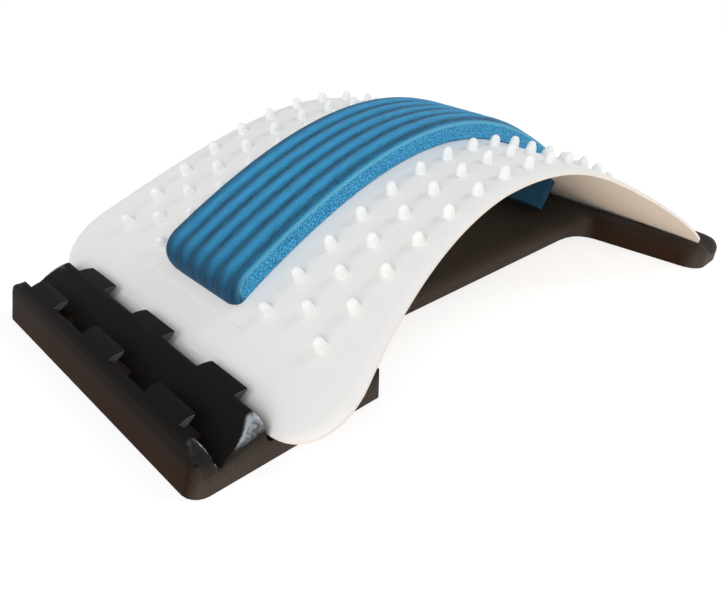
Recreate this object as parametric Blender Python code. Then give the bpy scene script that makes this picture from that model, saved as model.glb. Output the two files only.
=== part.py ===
"""Lumbar back stretcher: a T-shaped moulded base, a flexible arched massage plate and a foam pad.

Metres, +Z up. +Y runs from the narrow level end to the wide end, X across, z = 0 is the floor.
The origin is on the floor, below the middle of the base.
"""

import math

import bmesh
import bpy
import numpy as np

COLLECTION = "lumbar_back_stretcher"
CUTTERS = "cutters"
GAP = 0.0003

# Base, in plan
NEAR_Y = -0.1947
FAR_Y = 0.1947
BASE_BOTTOM = 0.0004
BLOCK_HALF_WIDTH = 0.0785
BLOCK_INNER_Y = -0.1030
BLOCK_CORNER_R = 0.007
BEAM_HALF_WIDTH = 0.0408
BEAM_TOP = 0.0130
BAR_HALF_WIDTH = 0.1210
BAR_INNER_Y = 0.1394
BAR_SWEEP_START_X = 0.040
BAR_SWEEP = 0.14
BAR_INNER_END_R = 0.0100
BAR_OUTER_END_R = 0.0180
WALL = 0.0030
RIB = 0.0020

# Level block: ridges with three rows of hooks, each row one level of the arch
ROW_PITCH = 0.0224
RIM_INSET = 0.0062
RIM_Z = 0.0201
VALLEY_Z = 0.0097
RIDGE_Z = 0.0218
RAMP_HOLLOWING = 1.2
DECK_Z = 0.0185
RIM_SHOULDER_R = 0.0140
RIDGE_SHOULDER_R = 0.0085
HOOK_WIDTH = 0.0235
HOOK_PITCH = 0.0494
HOOK_REACH = 0.0077
HOOK_TIP_Z = 0.0214
HOOK_CORNER_R = 0.0010
WINDOW_DEPTH = (0.0027, 0.0089)
WINDOW_MARGIN = 0.0012
WINDOW_WALL = 0.0020

# Wide end: wall, trough for the arch's far edge and outer rim
BAR_WALL_Z = 0.0185
BAR_TROUGH_Z = 0.0061
BAR_RIM_Z = 0.0116
BAR_SHOULDER_R = 0.0130
BAR_SHOULDER_DROPS = (0.0110, 0.0062)
SEAT_DEPTH_RANGE = (0.30, 0.53)

# Arched plate: curvature along its length, waisted outline
ARCH_TOP_Z = 0.0824
ARCH_TOP_Y = -0.0030
ARCH_CREST_CURVATURE = 4.55
ARCH_CREST_SPREAD = 0.085
ARCH_NEAR_CURVATURE = 1.80
ARCH_FAR_CURVATURE = 1.50
PLATE_NEAR_S = -0.1774
PLATE_FAR_S = 0.1910
PLATE_THICKNESS = 0.0030
PLATE_EDGE = 0.0010
PLATE_WAIST = 0.0800
PLATE_WAIST_S = -0.030
PLATE_NEAR_FLARE = 1.36
PLATE_FAR_WIDTH = 0.1190
PLATE_FLARE_MID_S = 0.112
PLATE_FLARE_SOFTNESS = 0.022
PLATE_NEAR_CORNER_R = 0.036
PLATE_FAR_CORNER_R = 0.030

# Massage nubs
NUB_PITCH = 0.020
NUB_ROWS = 15
NUB_COLUMNS = (0.0390, 0.0550, 0.0714)
NUB_HEIGHT = 0.0076
NUB_PROFILE = ((0.0037, -0.0012), (0.0033, 0.0012), (0.0026, 0.0050), (0.0018, 0.0069))
NUB_SIDES = 10

# Foam pad
FOAM_WIDTH = 0.0530
FOAM_CENTRE_X = -0.0010
FOAM_THICKNESS = 0.0114
FOAM_RIDGES = 6
FOAM_GROOVE = 0.0017
FOAM_TURNS = (-0.1338, 0.1280)
FOAM_TURN_R = 0.0010
FOAM_TUCKS = (0.0040, 0.0)
FOAM_TUCK_RISE = 0.0110
FOAM_TUCK_DRIFT = 0.0012
FOAM_TAILS = (0.0150, 0.0230)
SLOT_MARGIN = 0.0006

# Label recess near the hooked end, left bare
RECESS_SIZE = (0.070, 0.0185)
RECESS_CENTRE_X = -0.0015
RECESS_S = -0.1605
RECESS_DEPTH = 0.0006

# Foot pads
FOOT_RADIUS = 0.0080
FOOT_THICKNESS = 0.0030
FOOT_CENTRES = ((-0.060, -0.1765), (0.060, -0.1765), (-0.098, 0.1700), (0.098, 0.1700))


def clear_scene():
    for obj in list(bpy.data.objects):
        bpy.data.objects.remove(obj, do_unlink=True)


def make_collection(name):
    collection = bpy.data.collections.new(name)
    bpy.context.scene.collection.children.link(collection)
    return collection


def make_material(name, colour, roughness):
    material = bpy.data.materials.new(name)
    material.use_nodes = True
    shader = material.node_tree.nodes["Principled BSDF"]
    shader.inputs["Base Color"].default_value = (*colour, 1.0)
    shader.inputs["Roughness"].default_value = roughness
    shader.inputs["Metallic"].default_value = 0.0
    return material


def make_object(name, bm, collection, material=None):
    bmesh.ops.recalc_face_normals(bm, faces=bm.faces)
    mesh = bpy.data.meshes.new(name)
    bm.to_mesh(mesh)
    bm.free()
    obj = bpy.data.objects.new(name, mesh)
    collection.objects.link(obj)
    if material:
        mesh.materials.append(material)
    return obj


def make_cutter(name, bm, collection):
    cutter = make_object(name, bm, collection)
    cutter.hide_render = True
    cutter.display_type = "WIRE"
    return cutter


def add_boolean(obj, operand, operation, crossing_shapes=False):
    """Boolean with an operand; crossing_shapes is for one whose own bodies run through each other."""
    modifier = obj.modifiers.new(f"{operation.lower()} {operand.name}", "BOOLEAN")
    modifier.operation = operation
    modifier.solver = "EXACT"
    modifier.use_self = crossing_shapes
    modifier.object = operand


def skin_rings(bm, rings):
    """Join equal closed rings of points into one capped body."""
    loops = [[bm.verts.new(point) for point in ring] for ring in rings]
    for low, high in zip(loops, loops[1:]):
        for i in range(len(low)):
            j = (i + 1) % len(low)
            bm.faces.new((low[i], low[j], high[j], high[i]))
    bm.faces.new(list(reversed(loops[0])))
    bm.faces.new(loops[-1])


def add_box(bm, low, high):
    size = [b - a for a, b in zip(low, high)]
    centre = [(a + b) / 2 for a, b in zip(low, high)]
    corners = bmesh.ops.create_cube(bm, size=1.0)["verts"]
    bmesh.ops.scale(bm, vec=size, verts=corners)
    bmesh.ops.translate(bm, vec=centre, verts=corners)


def round_inset(distance, radius):
    """How far a corner of the given radius pulls an edge in, at a distance from the end."""
    if distance >= radius:
        return 0.0
    return radius - math.sqrt(radius ** 2 - (radius - distance) ** 2)


def end_distances(radius):
    """Distances from an end where the moulding's rounded shoulder needs a section."""
    return [radius * share for share in (0.0, 0.02, 0.08, 0.17, 0.30, 0.46, 0.70, 1.0)]


def mirrored_stations(half_width, distances, inner=()):
    right = [half_width - d for d in distances] + list(inner)
    right = sorted(set(right))
    return [-x for x in reversed(right)] + [x for x in right if x > 1e-9]


def shoulder_height(distance, top, reach, drop):
    """Highest point that a rounded shoulder allows at a distance from the end."""
    share = max(0.0, 1 - distance / reach)
    return top - drop * (1 - math.sqrt(1 - share ** 2))


def arch_table():
    """Integrate the plate's curvature from its crest; returns s, y, z and slope angle."""
    s = np.linspace(-0.26, 0.26, 2081)
    end = np.where(s < 0, ARCH_NEAR_CURVATURE, ARCH_FAR_CURVATURE)
    curvature = end + ARCH_CREST_CURVATURE * np.exp(-(s / ARCH_CREST_SPREAD) ** 2)
    step = s[1] - s[0]
    middle = len(s) // 2
    angle = -np.concatenate(([0.0], np.cumsum((curvature[1:] + curvature[:-1]) / 2 * step)))
    angle -= angle[middle]
    y = np.concatenate(([0.0], np.cumsum((np.cos(angle[1:]) + np.cos(angle[:-1])) / 2 * step)))
    z = np.concatenate(([0.0], np.cumsum((np.sin(angle[1:]) + np.sin(angle[:-1])) / 2 * step)))
    return s, ARCH_TOP_Y + y - y[middle], ARCH_TOP_Z + z - z[middle], angle


ARCH = arch_table()


def arch_frame(s):
    """Point on the plate's upper surface at arc length s, with its slope angle."""
    return tuple(float(np.interp(s, ARCH[0], column)) for column in ARCH[1:])


def on_arch(x, s, height):
    """World point at a height above the plate's upper surface."""
    y, z, angle = arch_frame(s)
    return (x, y - height * math.sin(angle), z + height * math.cos(angle))


def plate_half_width(s):
    """Waisted outline that flares to the wide end, before its corners are rounded."""
    near = PLATE_WAIST + PLATE_NEAR_FLARE * (min(s - PLATE_WAIST_S, 0.0)) ** 2
    blend = 1 / (1 + math.exp(-(s - PLATE_FLARE_MID_S) / PLATE_FLARE_SOFTNESS))
    middle = near + 0.05 * max(0.0, s - PLATE_WAIST_S)
    return middle + (PLATE_FAR_WIDTH - middle) * blend


def plate_edge_half_width(s):
    """Half width of the plate with its rounded corners."""
    near = round_inset(s - PLATE_NEAR_S, PLATE_NEAR_CORNER_R)
    far = round_inset(PLATE_FAR_S - s, PLATE_FAR_CORNER_R)
    return plate_half_width(s) - near - far


def seat_height(y, z):
    """Lower a height, short of the plate's far edge, to just below the level of the plate's underside."""
    if y > on_arch(0.0, PLATE_FAR_S, -PLATE_THICKNESS)[1]:
        return z
    low, high = 0.0, PLATE_FAR_S
    for _ in range(30):
        middle = (low + high) / 2
        if on_arch(0.0, middle, -PLATE_THICKNESS)[1] < y:
            low = middle
        else:
            high = middle
    return min(z, on_arch(0.0, low, -PLATE_THICKNESS)[2] - GAP)


def crest_y(row):
    """Crest of the rim (row 0) or of the ridge that carries a row of hooks."""
    return NEAR_Y + RIM_INSET + ROW_PITCH * row


def block_profile():
    """Side outline of the level block, from its outer wall's foot to its inner wall's foot."""
    rim_outside = ((-0.0049, 0.0080), (-0.0041, 0.0135), (-0.0028, 0.0174), (-0.0014, 0.0194))
    ridge_outside = ((-0.0014, 0.0212),)
    inner_wall = ((0.0024, 0.0170), (0.0027, 0.0124), (0.0038, 0.0103), (0.0052, VALLEY_Z))
    points = [(NEAR_Y, BASE_BOTTOM)]
    for row in range(3):
        crest = crest_y(row)
        height = RIDGE_Z if row else RIM_Z
        offsets = list(ridge_outside if row else rim_outside)
        offsets += [(0.0, height), (0.0013, height - 0.0005), (0.0020, height - 0.0018)]
        offsets += inner_wall
        points += [(crest + y, z) for y, z in offsets]
        if row < 2:
            ramp_end = (crest_y(row + 1) + ridge_outside[0][0], ridge_outside[0][1])
        else:
            ramp_end = (crest_y(3), DECK_Z)
        valley = points[-1]
        for t in (0.12, 0.42, 0.75):
            y = valley[0] + (ramp_end[0] - valley[0]) * t
            points.append((y, valley[1] + (ramp_end[1] - valley[1]) * t ** RAMP_HOLLOWING))
    points.append((crest_y(3), DECK_Z))
    points.append((BLOCK_INNER_Y - 0.0040, DECK_Z))
    points.append((BLOCK_INNER_Y - 0.0014, DECK_Z - 0.0026))
    points.append((BLOCK_INNER_Y, BASE_BOTTOM))
    return points


def add_level_block(bm):
    """The rim ends in a wide soft shoulder, the ridges behind it in a tighter one."""
    profile = block_profile()
    rings = []
    for x in mirrored_stations(BLOCK_HALF_WIDTH, end_distances(RIM_SHOULDER_R)):
        distance = BLOCK_HALF_WIDTH - abs(x)
        corner = round_inset(distance, BLOCK_CORNER_R)
        ring = []
        for y, z in profile:
            nearness = max(0.0, 1 - (y - NEAR_Y) / (2 * BLOCK_CORNER_R))
            inwards = min(max((y - crest_y(0)) / ROW_PITCH, 0.0), 1.0)
            top = RIM_Z + (RIDGE_Z - RIM_Z) * inwards
            radius = RIM_SHOULDER_R + (RIDGE_SHOULDER_R - RIM_SHOULDER_R) * inwards
            ring.append((x, y + corner * nearness, min(z, shoulder_height(distance, top, radius, radius))))
        rings.append(ring)
    skin_rings(bm, rings)


def bar_inner_y(x):
    """Inner wall of the wide end, swept back towards its tips."""
    return BAR_INNER_Y + BAR_SWEEP * max(0.0, abs(x) - BAR_SWEEP_START_X)


def bar_depth(x, inset):
    """Inner and outer side of the wide end at one station across, with its rounded tips."""
    distance = BAR_HALF_WIDTH - inset - abs(x)
    inner = bar_inner_y(x) + inset + round_inset(distance, BAR_INNER_END_R - inset)
    return inner, FAR_Y - inset - round_inset(distance, BAR_OUTER_END_R - inset)


def add_beam(bm):
    """Centre beam, which flares and rises into the wide end's wall."""
    flare = ((0.0240, 0.0, 0.0), (0.0160, 0.0008, 0.0002), (0.0100, 0.0026, 0.0007), (0.0060, 0.0052, 0.0015),
             (0.0030, 0.0090, 0.0027), (0.0014, 0.0130, 0.0038), (0.0, 0.0200, 0.0048))
    y_end = bar_inner_y(BEAM_HALF_WIDTH + flare[-1][1]) + 0.0004
    stations = [(BLOCK_INNER_Y - 0.0100, 0.0, 0.0)] + [(y_end - back, out, rise) for back, out, rise in flare]
    stations.append((y_end + 0.0060, *flare[-1][1:]))
    rings = []
    for y, out, rise in stations:
        half = BEAM_HALF_WIDTH + out
        side = [(half, BASE_BOTTOM), (half - 0.0006, 0.0060), (half - 0.0018, 0.0098 + rise * 0.8)]
        side += [(half - 0.0045, 0.0122 + rise), (half - 0.0085, BEAM_TOP + rise)]
        ring = [(x, y, z) for x, z in side]
        ring += [(-x, y, z) for x, z in reversed(side)]
        rings.append(ring)
    skin_rings(bm, rings)


def add_wide_end(bm):
    """Wall sloping down below the plate, then a trough past the plate's edge, then the rim."""
    wall = ((0.0, BASE_BOTTOM), (0.04, 0.0085), (0.10, 0.0155), (0.18, 0.0180), (0.27, BAR_WALL_Z),
            (0.42, 0.0168), (0.64, 0.0130), (0.90, 0.0085))
    rim = ((0.0, BAR_TROUGH_Z), (0.36, 0.0066), (0.58, 0.0084), (0.70, 0.0106), (0.80, BAR_RIM_Z),
           (0.91, 0.0108), (0.97, 0.0080), (1.0, BASE_BOTTOM))
    plate_edge_y = on_arch(0.0, PLATE_FAR_S, -PLATE_THICKNESS)[1]
    rings = []
    distances = end_distances(BAR_OUTER_END_R)
    for x in mirrored_stations(BAR_HALF_WIDTH, distances, (0.0, BAR_SWEEP_START_X, 0.080)):
        distance = BAR_HALF_WIDTH - abs(x)
        wall_top = shoulder_height(distance, BAR_WALL_Z, BAR_SHOULDER_R, BAR_SHOULDER_DROPS[0])
        rim_top = shoulder_height(distance, BAR_RIM_Z, BAR_SHOULDER_R, BAR_SHOULDER_DROPS[1])
        low, high = bar_depth(x, 0.0)
        nearest, furthest = (low + (high - low) * share for share in SEAT_DEPTH_RANGE)
        trough_y = min(max(plate_edge_y, nearest), furthest)
        points = [(low + (trough_y - low) * share, min(z, wall_top)) for share, z in wall]
        points += [(trough_y + (high - trough_y) * share, min(z, rim_top)) for share, z in rim]
        rings.append([(x, y, seat_height(y, z)) for y, z in points])
    skin_rings(bm, rings)


def add_hook(bm, x_centre, row):
    """Thin tongue, flush with its ridge, that reaches inwards over the edge of the plate."""
    crest = crest_y(row)
    root_z = (RIDGE_Z if row else RIM_Z) - GAP
    bulge = 0.0004 if row else 0.0008
    lip = ((-0.0002, -0.0006), (-0.0012, -0.0016))
    underside = ((0.0044, -0.0026), (0.0021, -0.0038), (0.0006, -0.0047), (-0.0006, -0.0049))
    half = HOOK_WIDTH / 2
    rings = []
    for x in mirrored_stations(half, (0.0, HOOK_CORNER_R / 3, HOOK_CORNER_R)):
        reach = HOOK_REACH - round_inset(half - abs(x), HOOK_CORNER_R)
        section = []
        for t in (0.0, 0.25, 0.5, 0.75, 1.0):
            z = root_z + (HOOK_TIP_Z - root_z) * t + bulge * 4 * t * (1 - t)
            section.append((crest + reach * t, z))
        section += [(crest + reach + y, HOOK_TIP_Z + z) for y, z in lip]
        section += [(crest + y, HOOK_TIP_Z + z) for y, z in underside]
        rings.append([(x_centre + x, y, z) for y, z in section])
    skin_rings(bm, rings)


def window_range(x_centre, row, margin):
    """Plan of the through window below a hook, left by the straight-pull mould."""
    half = HOOK_WIDTH / 2 + WINDOW_MARGIN + margin
    near, far = (crest_y(row) + depth for depth in WINDOW_DEPTH)
    return (x_centre - half, near - margin), (x_centre + half, far + margin)


def hook_places():
    """Middle of each hook across the base, and its row from the outer rim inwards."""
    return [(column * HOOK_PITCH, row) for row in range(3) for column in (-1, 0, 1)]


def add_hooks(bm):
    for x, row in hook_places():
        add_hook(bm, x, row)


def add_windows(bm):
    for place in hook_places():
        low, high = window_range(*place, 0.0)
        add_box(bm, (*low, -0.010), (*high, HOOK_TIP_Z - 0.0060))


def level_cavity(bm):
    """Hollow below the valleys, with the block's two outer corners cut across."""
    corner = 0.0060
    x_half = BLOCK_HALF_WIDTH - 1.5 * WALL
    y_low = NEAR_Y + 1.5 * WALL
    y_high = crest_y(3) + 0.0020
    outline = [(x_half - corner, y_low), (x_half, y_low + corner), (x_half, y_high)]
    outline += [(-x, y) for x, y in reversed(outline)]
    skin_rings(bm, [[(x, y, z) for x, y in outline] for z in (-0.010, VALLEY_Z - WALL)])


def deck_cavity(bm):
    """Higher hollow below the plain deck, next to the beam."""
    x_half = BLOCK_HALF_WIDTH - 1.5 * WALL
    add_box(bm, (-x_half, crest_y(3) + 0.0010, -0.011), (x_half, BLOCK_INNER_Y - WALL, DECK_Z - WALL))


def beam_cavity(bm):
    half = BEAM_HALF_WIDTH - WALL
    low = (-half, BLOCK_INNER_Y - WALL - 0.001, -0.012)
    add_box(bm, low, (half, BAR_INNER_Y + 2 * WALL, BEAM_TOP - WALL))


def bar_cavity(bm):
    ceiling = ((0.0, -0.010), (0.015, 0.0080), (0.050, 0.0128), (0.160, 0.0118), (0.360, 0.0036),
               (0.960, 0.0036), (1.0, -0.010))
    distances = [0.0, 0.0060, 0.0140, BAR_OUTER_END_R]
    rings = []
    for x in mirrored_stations(BAR_HALF_WIDTH - 2 * WALL, distances, (0.0, BAR_SWEEP_START_X)):
        low, high = bar_depth(x, 1.5 * WALL)
        rings.append([(x, low + (high - low) * share, z) for share, z in ceiling])
    skin_rings(bm, rings)


def add_ribs(bm):
    """Stiffening ribs left standing in the hollow, with a boss over each foot pad."""
    bottom = -0.020
    top = 0.030
    for x in (-HOOK_PITCH / 2, HOOK_PITCH / 2):
        add_box(bm, (x - RIB / 2, NEAR_Y, bottom), (x + RIB / 2, BLOCK_INNER_Y, top))
    for place in hook_places():
        low, high = window_range(*place, WINDOW_WALL)
        add_box(bm, (*low, bottom), (*high, top))
    for y in (crest_y(1), crest_y(2), BLOCK_INNER_Y - WALL):
        add_box(bm, (-BLOCK_HALF_WIDTH, y - RIB / 2, bottom), (BLOCK_HALF_WIDTH, y + RIB / 2, top))
    beam_length = BAR_INNER_Y - BLOCK_INNER_Y
    for i in range(1, 6):
        y = BLOCK_INNER_Y + beam_length * i / 6
        add_box(bm, (-BEAM_HALF_WIDTH, y - RIB / 2, bottom), (BEAM_HALF_WIDTH, y + RIB / 2, top))
    add_box(bm, (-RIB / 2, BLOCK_INNER_Y, bottom), (RIB / 2, BAR_INNER_Y, top))
    for x in (-0.075, -0.037, 0.0, 0.037, 0.075):
        add_box(bm, (x - RIB / 2, BAR_INNER_Y, bottom), (x + RIB / 2, FAR_Y, top))
    for x, y in FOOT_CENTRES:
        boss = bmesh.ops.create_cone(bm, segments=20, cap_ends=True, radius1=FOOT_RADIUS + 0.002,
                                     radius2=FOOT_RADIUS + 0.002, depth=0.05)["verts"]
        bmesh.ops.translate(bm, vec=(x, y, 0.015), verts=boss)


def foot_recesses(bm):
    """Shallow seats in the bosses, a hair wider than the pads."""
    for x, y in FOOT_CENTRES:
        seat = bmesh.ops.create_cone(bm, segments=24, cap_ends=True, radius1=FOOT_RADIUS + GAP,
                                     radius2=FOOT_RADIUS + GAP, depth=0.02)["verts"]
        bmesh.ops.translate(bm, vec=(x, y, FOOT_THICKNESS + GAP - 0.01), verts=seat)


def make_form(name, build, cutters):
    bm = bmesh.new()
    build(bm)
    return make_cutter(name, bm, cutters)


def build_base(parts, cutters, material):
    bm = bmesh.new()
    add_level_block(bm)
    base = make_object("base_frame", bm, parts, material)
    add_boolean(base, make_form("beam form", add_beam, cutters), "UNION")
    add_boolean(base, make_form("wide end form", add_wide_end, cutters), "UNION")
    add_boolean(base, make_form("hook forms", add_hooks, cutters), "UNION")
    hollow = make_form("hollow form", level_cavity, cutters)
    for name, form in (("deck", deck_cavity), ("beam", beam_cavity), ("wide end", bar_cavity)):
        add_boolean(hollow, make_form(f"{name} hollow form", form, cutters), "UNION")
    add_boolean(hollow, make_form("rib forms", add_ribs, cutters), "DIFFERENCE", crossing_shapes=True)
    add_boolean(base, hollow, "DIFFERENCE")
    add_boolean(base, make_form("foot seat forms", foot_recesses, cutters), "DIFFERENCE")
    add_boolean(base, make_form("window forms", add_windows, cutters), "DIFFERENCE")
    return base


def plate_rows():
    """Rows along the plate, closer together in its rounded corners."""
    near = [PLATE_NEAR_S + PLATE_NEAR_CORNER_R * share for share in (0, 0.012, 0.05, 0.12, 0.24, 0.42, 0.68)]
    far = [PLATE_FAR_S - PLATE_FAR_CORNER_R * share for share in (0, 0.012, 0.05, 0.12, 0.24, 0.42, 0.68)]
    middle = np.linspace(near[-1] + 0.0120, far[-1] - 0.0100, 31)
    return near + [float(s) for s in middle] + list(reversed(far))


def add_plate(bm):
    rings = []
    rows = plate_rows()
    for i, s in enumerate(rows):
        half = plate_edge_half_width(s)
        thin = 0.0007 if i in (0, len(rows) - 1) else 0.0
        top = -thin
        bottom = -PLATE_THICKNESS + thin
        section = [(half - PLATE_EDGE, top), (half, top - PLATE_EDGE + thin),
                   (half, bottom + PLATE_EDGE - thin),
                   (half - PLATE_EDGE, bottom)]
        ring = [on_arch(x, s, h) for x, h in section]
        ring += [on_arch(-x, s, h) for x, h in reversed(section)]
        rings.append(ring)
    skin_rings(bm, rings)


def nub_places():
    """Outer and inner columns share rows; the middle columns are set half a pitch off."""
    first = -NUB_PITCH * (NUB_ROWS - 1) / 2
    for i, x in enumerate(NUB_COLUMNS):
        staggered = i == 1
        count = NUB_ROWS - 1 if staggered else NUB_ROWS
        start = first + (NUB_PITCH / 2 if staggered else 0.0)
        for row in range(count):
            for side in (-1, 1):
                yield side * x, start + row * NUB_PITCH


def add_nub(bm, x_centre, s_centre):
    y0, z0, angle = arch_frame(s_centre)
    along = (0.0, math.cos(angle), math.sin(angle))
    normal = (0.0, -math.sin(angle), math.cos(angle))
    rings = []
    for radius, height in NUB_PROFILE:
        ring = []
        for i in range(NUB_SIDES):
            turn = 2 * math.pi * i / NUB_SIDES
            across = radius * math.cos(turn)
            forward = radius * math.sin(turn)
            ring.append((x_centre + across, y0 + forward * along[1] + height * normal[1],
                         z0 + forward * along[2] + height * normal[2]))
        rings.append(ring)
    loops = [[bm.verts.new(point) for point in ring] for ring in rings]
    tip = bm.verts.new((x_centre, y0 + NUB_HEIGHT * normal[1], z0 + NUB_HEIGHT * normal[2]))
    bm.faces.new(list(reversed(loops[0])))
    for low, high in zip(loops, loops[1:]):
        for i in range(NUB_SIDES):
            j = (i + 1) % NUB_SIDES
            bm.faces.new((low[i], low[j], high[j], high[i]))
    for i in range(NUB_SIDES):
        bm.faces.new((loops[-1][i], loops[-1][(i + 1) % NUB_SIDES], tip))


def add_plate_box(bm, x_range, s_range, h_range):
    """Box in the plate's own directions, square to it at the middle of its length."""
    y0, z0, angle = arch_frame(sum(s_range) / 2)
    half = (s_range[1] - s_range[0]) / 2
    rings = []
    for x in x_range:
        ring = []
        for along, height in ((-half, h_range[0]), (half, h_range[0]), (half, h_range[1]), (-half, h_range[1])):
            y = y0 + along * math.cos(angle) - height * math.sin(angle)
            z = z0 + along * math.sin(angle) + height * math.cos(angle)
            ring.append((x, y, z))
        rings.append(ring)
    skin_rings(bm, rings)


def foam_slot_range(side):
    """Slot along the plate for the foam's tail: side is -1 at the hooked end, +1 at the wide end."""
    turn = FOAM_TURNS[0] if side < 0 else FOAM_TURNS[1]
    inner = turn + side * (FOAM_TURN_R - SLOT_MARGIN)
    outer = turn + side * (FOAM_TURN_R + FOAM_THICKNESS + SLOT_MARGIN)
    return min(inner, outer), max(inner, outer)


def build_plate(parts, cutters, material):
    bm = bmesh.new()
    add_plate(bm)
    plate = make_object("arch_plate", bm, parts, material)

    def nubs(b):
        for x, s in nub_places():
            add_nub(b, x, s)

    def openings(b):
        for side, tuck in zip((-1, 1), FOAM_TUCKS):
            half = FOAM_WIDTH / 2 - tuck + SLOT_MARGIN
            centre = FOAM_CENTRE_X + FOAM_TUCK_DRIFT * tuck / FOAM_TUCKS[0]
            across = (centre - half, centre + half)
            add_plate_box(b, across, foam_slot_range(side), (-0.010, 0.006))

    def recess(b):
        half_x = RECESS_SIZE[0] / 2
        half_s = RECESS_SIZE[1] / 2
        across = (RECESS_CENTRE_X - half_x, RECESS_CENTRE_X + half_x)
        add_plate_box(b, across, (RECESS_S - half_s, RECESS_S + half_s), (-RECESS_DEPTH, 0.004))

    add_boolean(plate, make_form("nub forms", nubs, cutters), "UNION")
    add_boolean(plate, make_form("slot forms", openings, cutters), "DIFFERENCE")
    add_boolean(plate, make_form("recess form", recess, cutters), "DIFFERENCE")
    return plate


def foam_section():
    """Across the strip: (x, share of thickness) with rounded ridges on the upper side."""
    half = FOAM_WIDTH / 2
    points = [(-half, 0.0), (half, 0.0)]
    width = FOAM_WIDTH / FOAM_RIDGES
    for ridge in range(FOAM_RIDGES):
        right = half - ridge * width
        for share, depth in ((0.0, 1.0), (0.16, 0.42), (0.34, 0.08), (0.66, 0.08), (0.84, 0.42)):
            if ridge == 0 and share == 0.0:
                depth = 0.85
            points.append((right - share * width, 1 - depth * FOAM_GROOVE / FOAM_THICKNESS))
    points.append((-half, 1 - 0.85 * FOAM_GROOVE / FOAM_THICKNESS))
    return points


def foam_stations():
    """Stations along the strip: (y, z, outward direction) of its inner face, and how far it has turned down."""
    stations = []
    turns = (0.0, 22.5, 45.0, 67.5, 90.0)
    for side, s_turn, tail_length in zip((-1, 1), FOAM_TURNS, FOAM_TAILS):
        y0, z0, angle = arch_frame(s_turn)
        along = (side * math.cos(angle), side * math.sin(angle))
        normal = (-math.sin(angle), math.cos(angle))
        drop = GAP - FOAM_TURN_R
        centre = (y0 + normal[0] * drop, z0 + normal[1] * drop)
        group = []
        for degrees in reversed(turns):
            turn = math.radians(degrees)
            out = (normal[0] * math.cos(turn) + along[0] * math.sin(turn),
                   normal[1] * math.cos(turn) + along[1] * math.sin(turn))
            group.append((centre[0] + out[0] * FOAM_TURN_R, centre[1] + out[1] * FOAM_TURN_R, out, degrees))
        first = group[0]
        tail = (first[0] - normal[0] * tail_length, first[1] - normal[1] * tail_length, first[2], 90.0)
        stations.append([tail] + group)
    middle = []
    for s in np.linspace(*FOAM_TURNS, 27)[1:-1]:
        y, z, angle = arch_frame(float(s))
        out = (-math.sin(angle), math.cos(angle))
        middle.append((y + out[0] * GAP, z + out[1] * GAP, out, 0.0))
    return stations[0] + middle + list(reversed(stations[1]))


def foam_tuck(most, height, degrees):
    """How far the strip's sides draw in to pass its slot, at a height over its inner face."""
    level = math.cos(math.radians(degrees)) * (FOAM_TURN_R + height) - FOAM_TURN_R + GAP
    nearness = 1 - min(max(level, 0.0) / FOAM_TUCK_RISE, 1.0)
    return most * nearness ** 2 * min(degrees / 45.0, 1.0)


def build_foam(parts, material):
    bm = bmesh.new()
    section = foam_section()
    rings = []
    for y, z, out, degrees in foam_stations():
        most = FOAM_TUCKS[0] if y < ARCH_TOP_Y else FOAM_TUCKS[1]
        ring = []
        for x, share in section:
            height = share * FOAM_THICKNESS
            tuck = foam_tuck(most, height, degrees)
            across = x * (1 - tuck / (FOAM_WIDTH / 2)) + FOAM_TUCK_DRIFT * tuck / FOAM_TUCKS[0]
            ring.append((FOAM_CENTRE_X + across, y + out[0] * height, z + out[1] * height))
        rings.append(ring)
    skin_rings(bm, rings)
    return make_object("foam_pad", bm, parts, material)


def build_feet(parts, material):
    for index, (x, y) in enumerate(FOOT_CENTRES, start=1):
        bm = bmesh.new()
        bmesh.ops.create_cone(bm, segments=24, cap_ends=True, radius1=FOOT_RADIUS, radius2=FOOT_RADIUS,
                              depth=FOOT_THICKNESS)
        foot = make_object(f"foot_pad_{index}", bm, parts, material)
        foot.location = (x, y, FOOT_THICKNESS / 2)


def main():
    clear_scene()
    parts = make_collection(COLLECTION)
    cutters = make_collection(CUTTERS)
    base_plastic = make_material("base plastic", (0.012, 0.010, 0.009), 0.42)
    plate_plastic = make_material("plate plastic", (0.86, 0.86, 0.86), 0.38)
    foam = make_material("foam", (0.035, 0.190, 0.360), 0.80)
    rubber = make_material("foot rubber", (0.030, 0.030, 0.030), 0.85)
    build_base(parts, cutters, base_plastic)
    build_plate(parts, cutters, plate_plastic)
    build_foam(parts, foam)
    build_feet(parts, rubber)


main()
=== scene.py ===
"""Looks of a lumbar back stretcher: a nubbed arch plate with a foam pad, seated in a moulded base.

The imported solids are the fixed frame. Each operator adds a finer skin around one of them, or the stage.
Metres, +Z up. +Y runs from the hooked end of the base to its wide end. Along the plate, s is the arc length
from its crest, growing with y.
"""

import math
from collections import namedtuple
from itertools import accumulate

import bmesh
import bpy
import numpy as np
from bpy.props import FloatProperty, FloatVectorProperty, PointerProperty
from mathutils import Matrix, Vector


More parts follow.
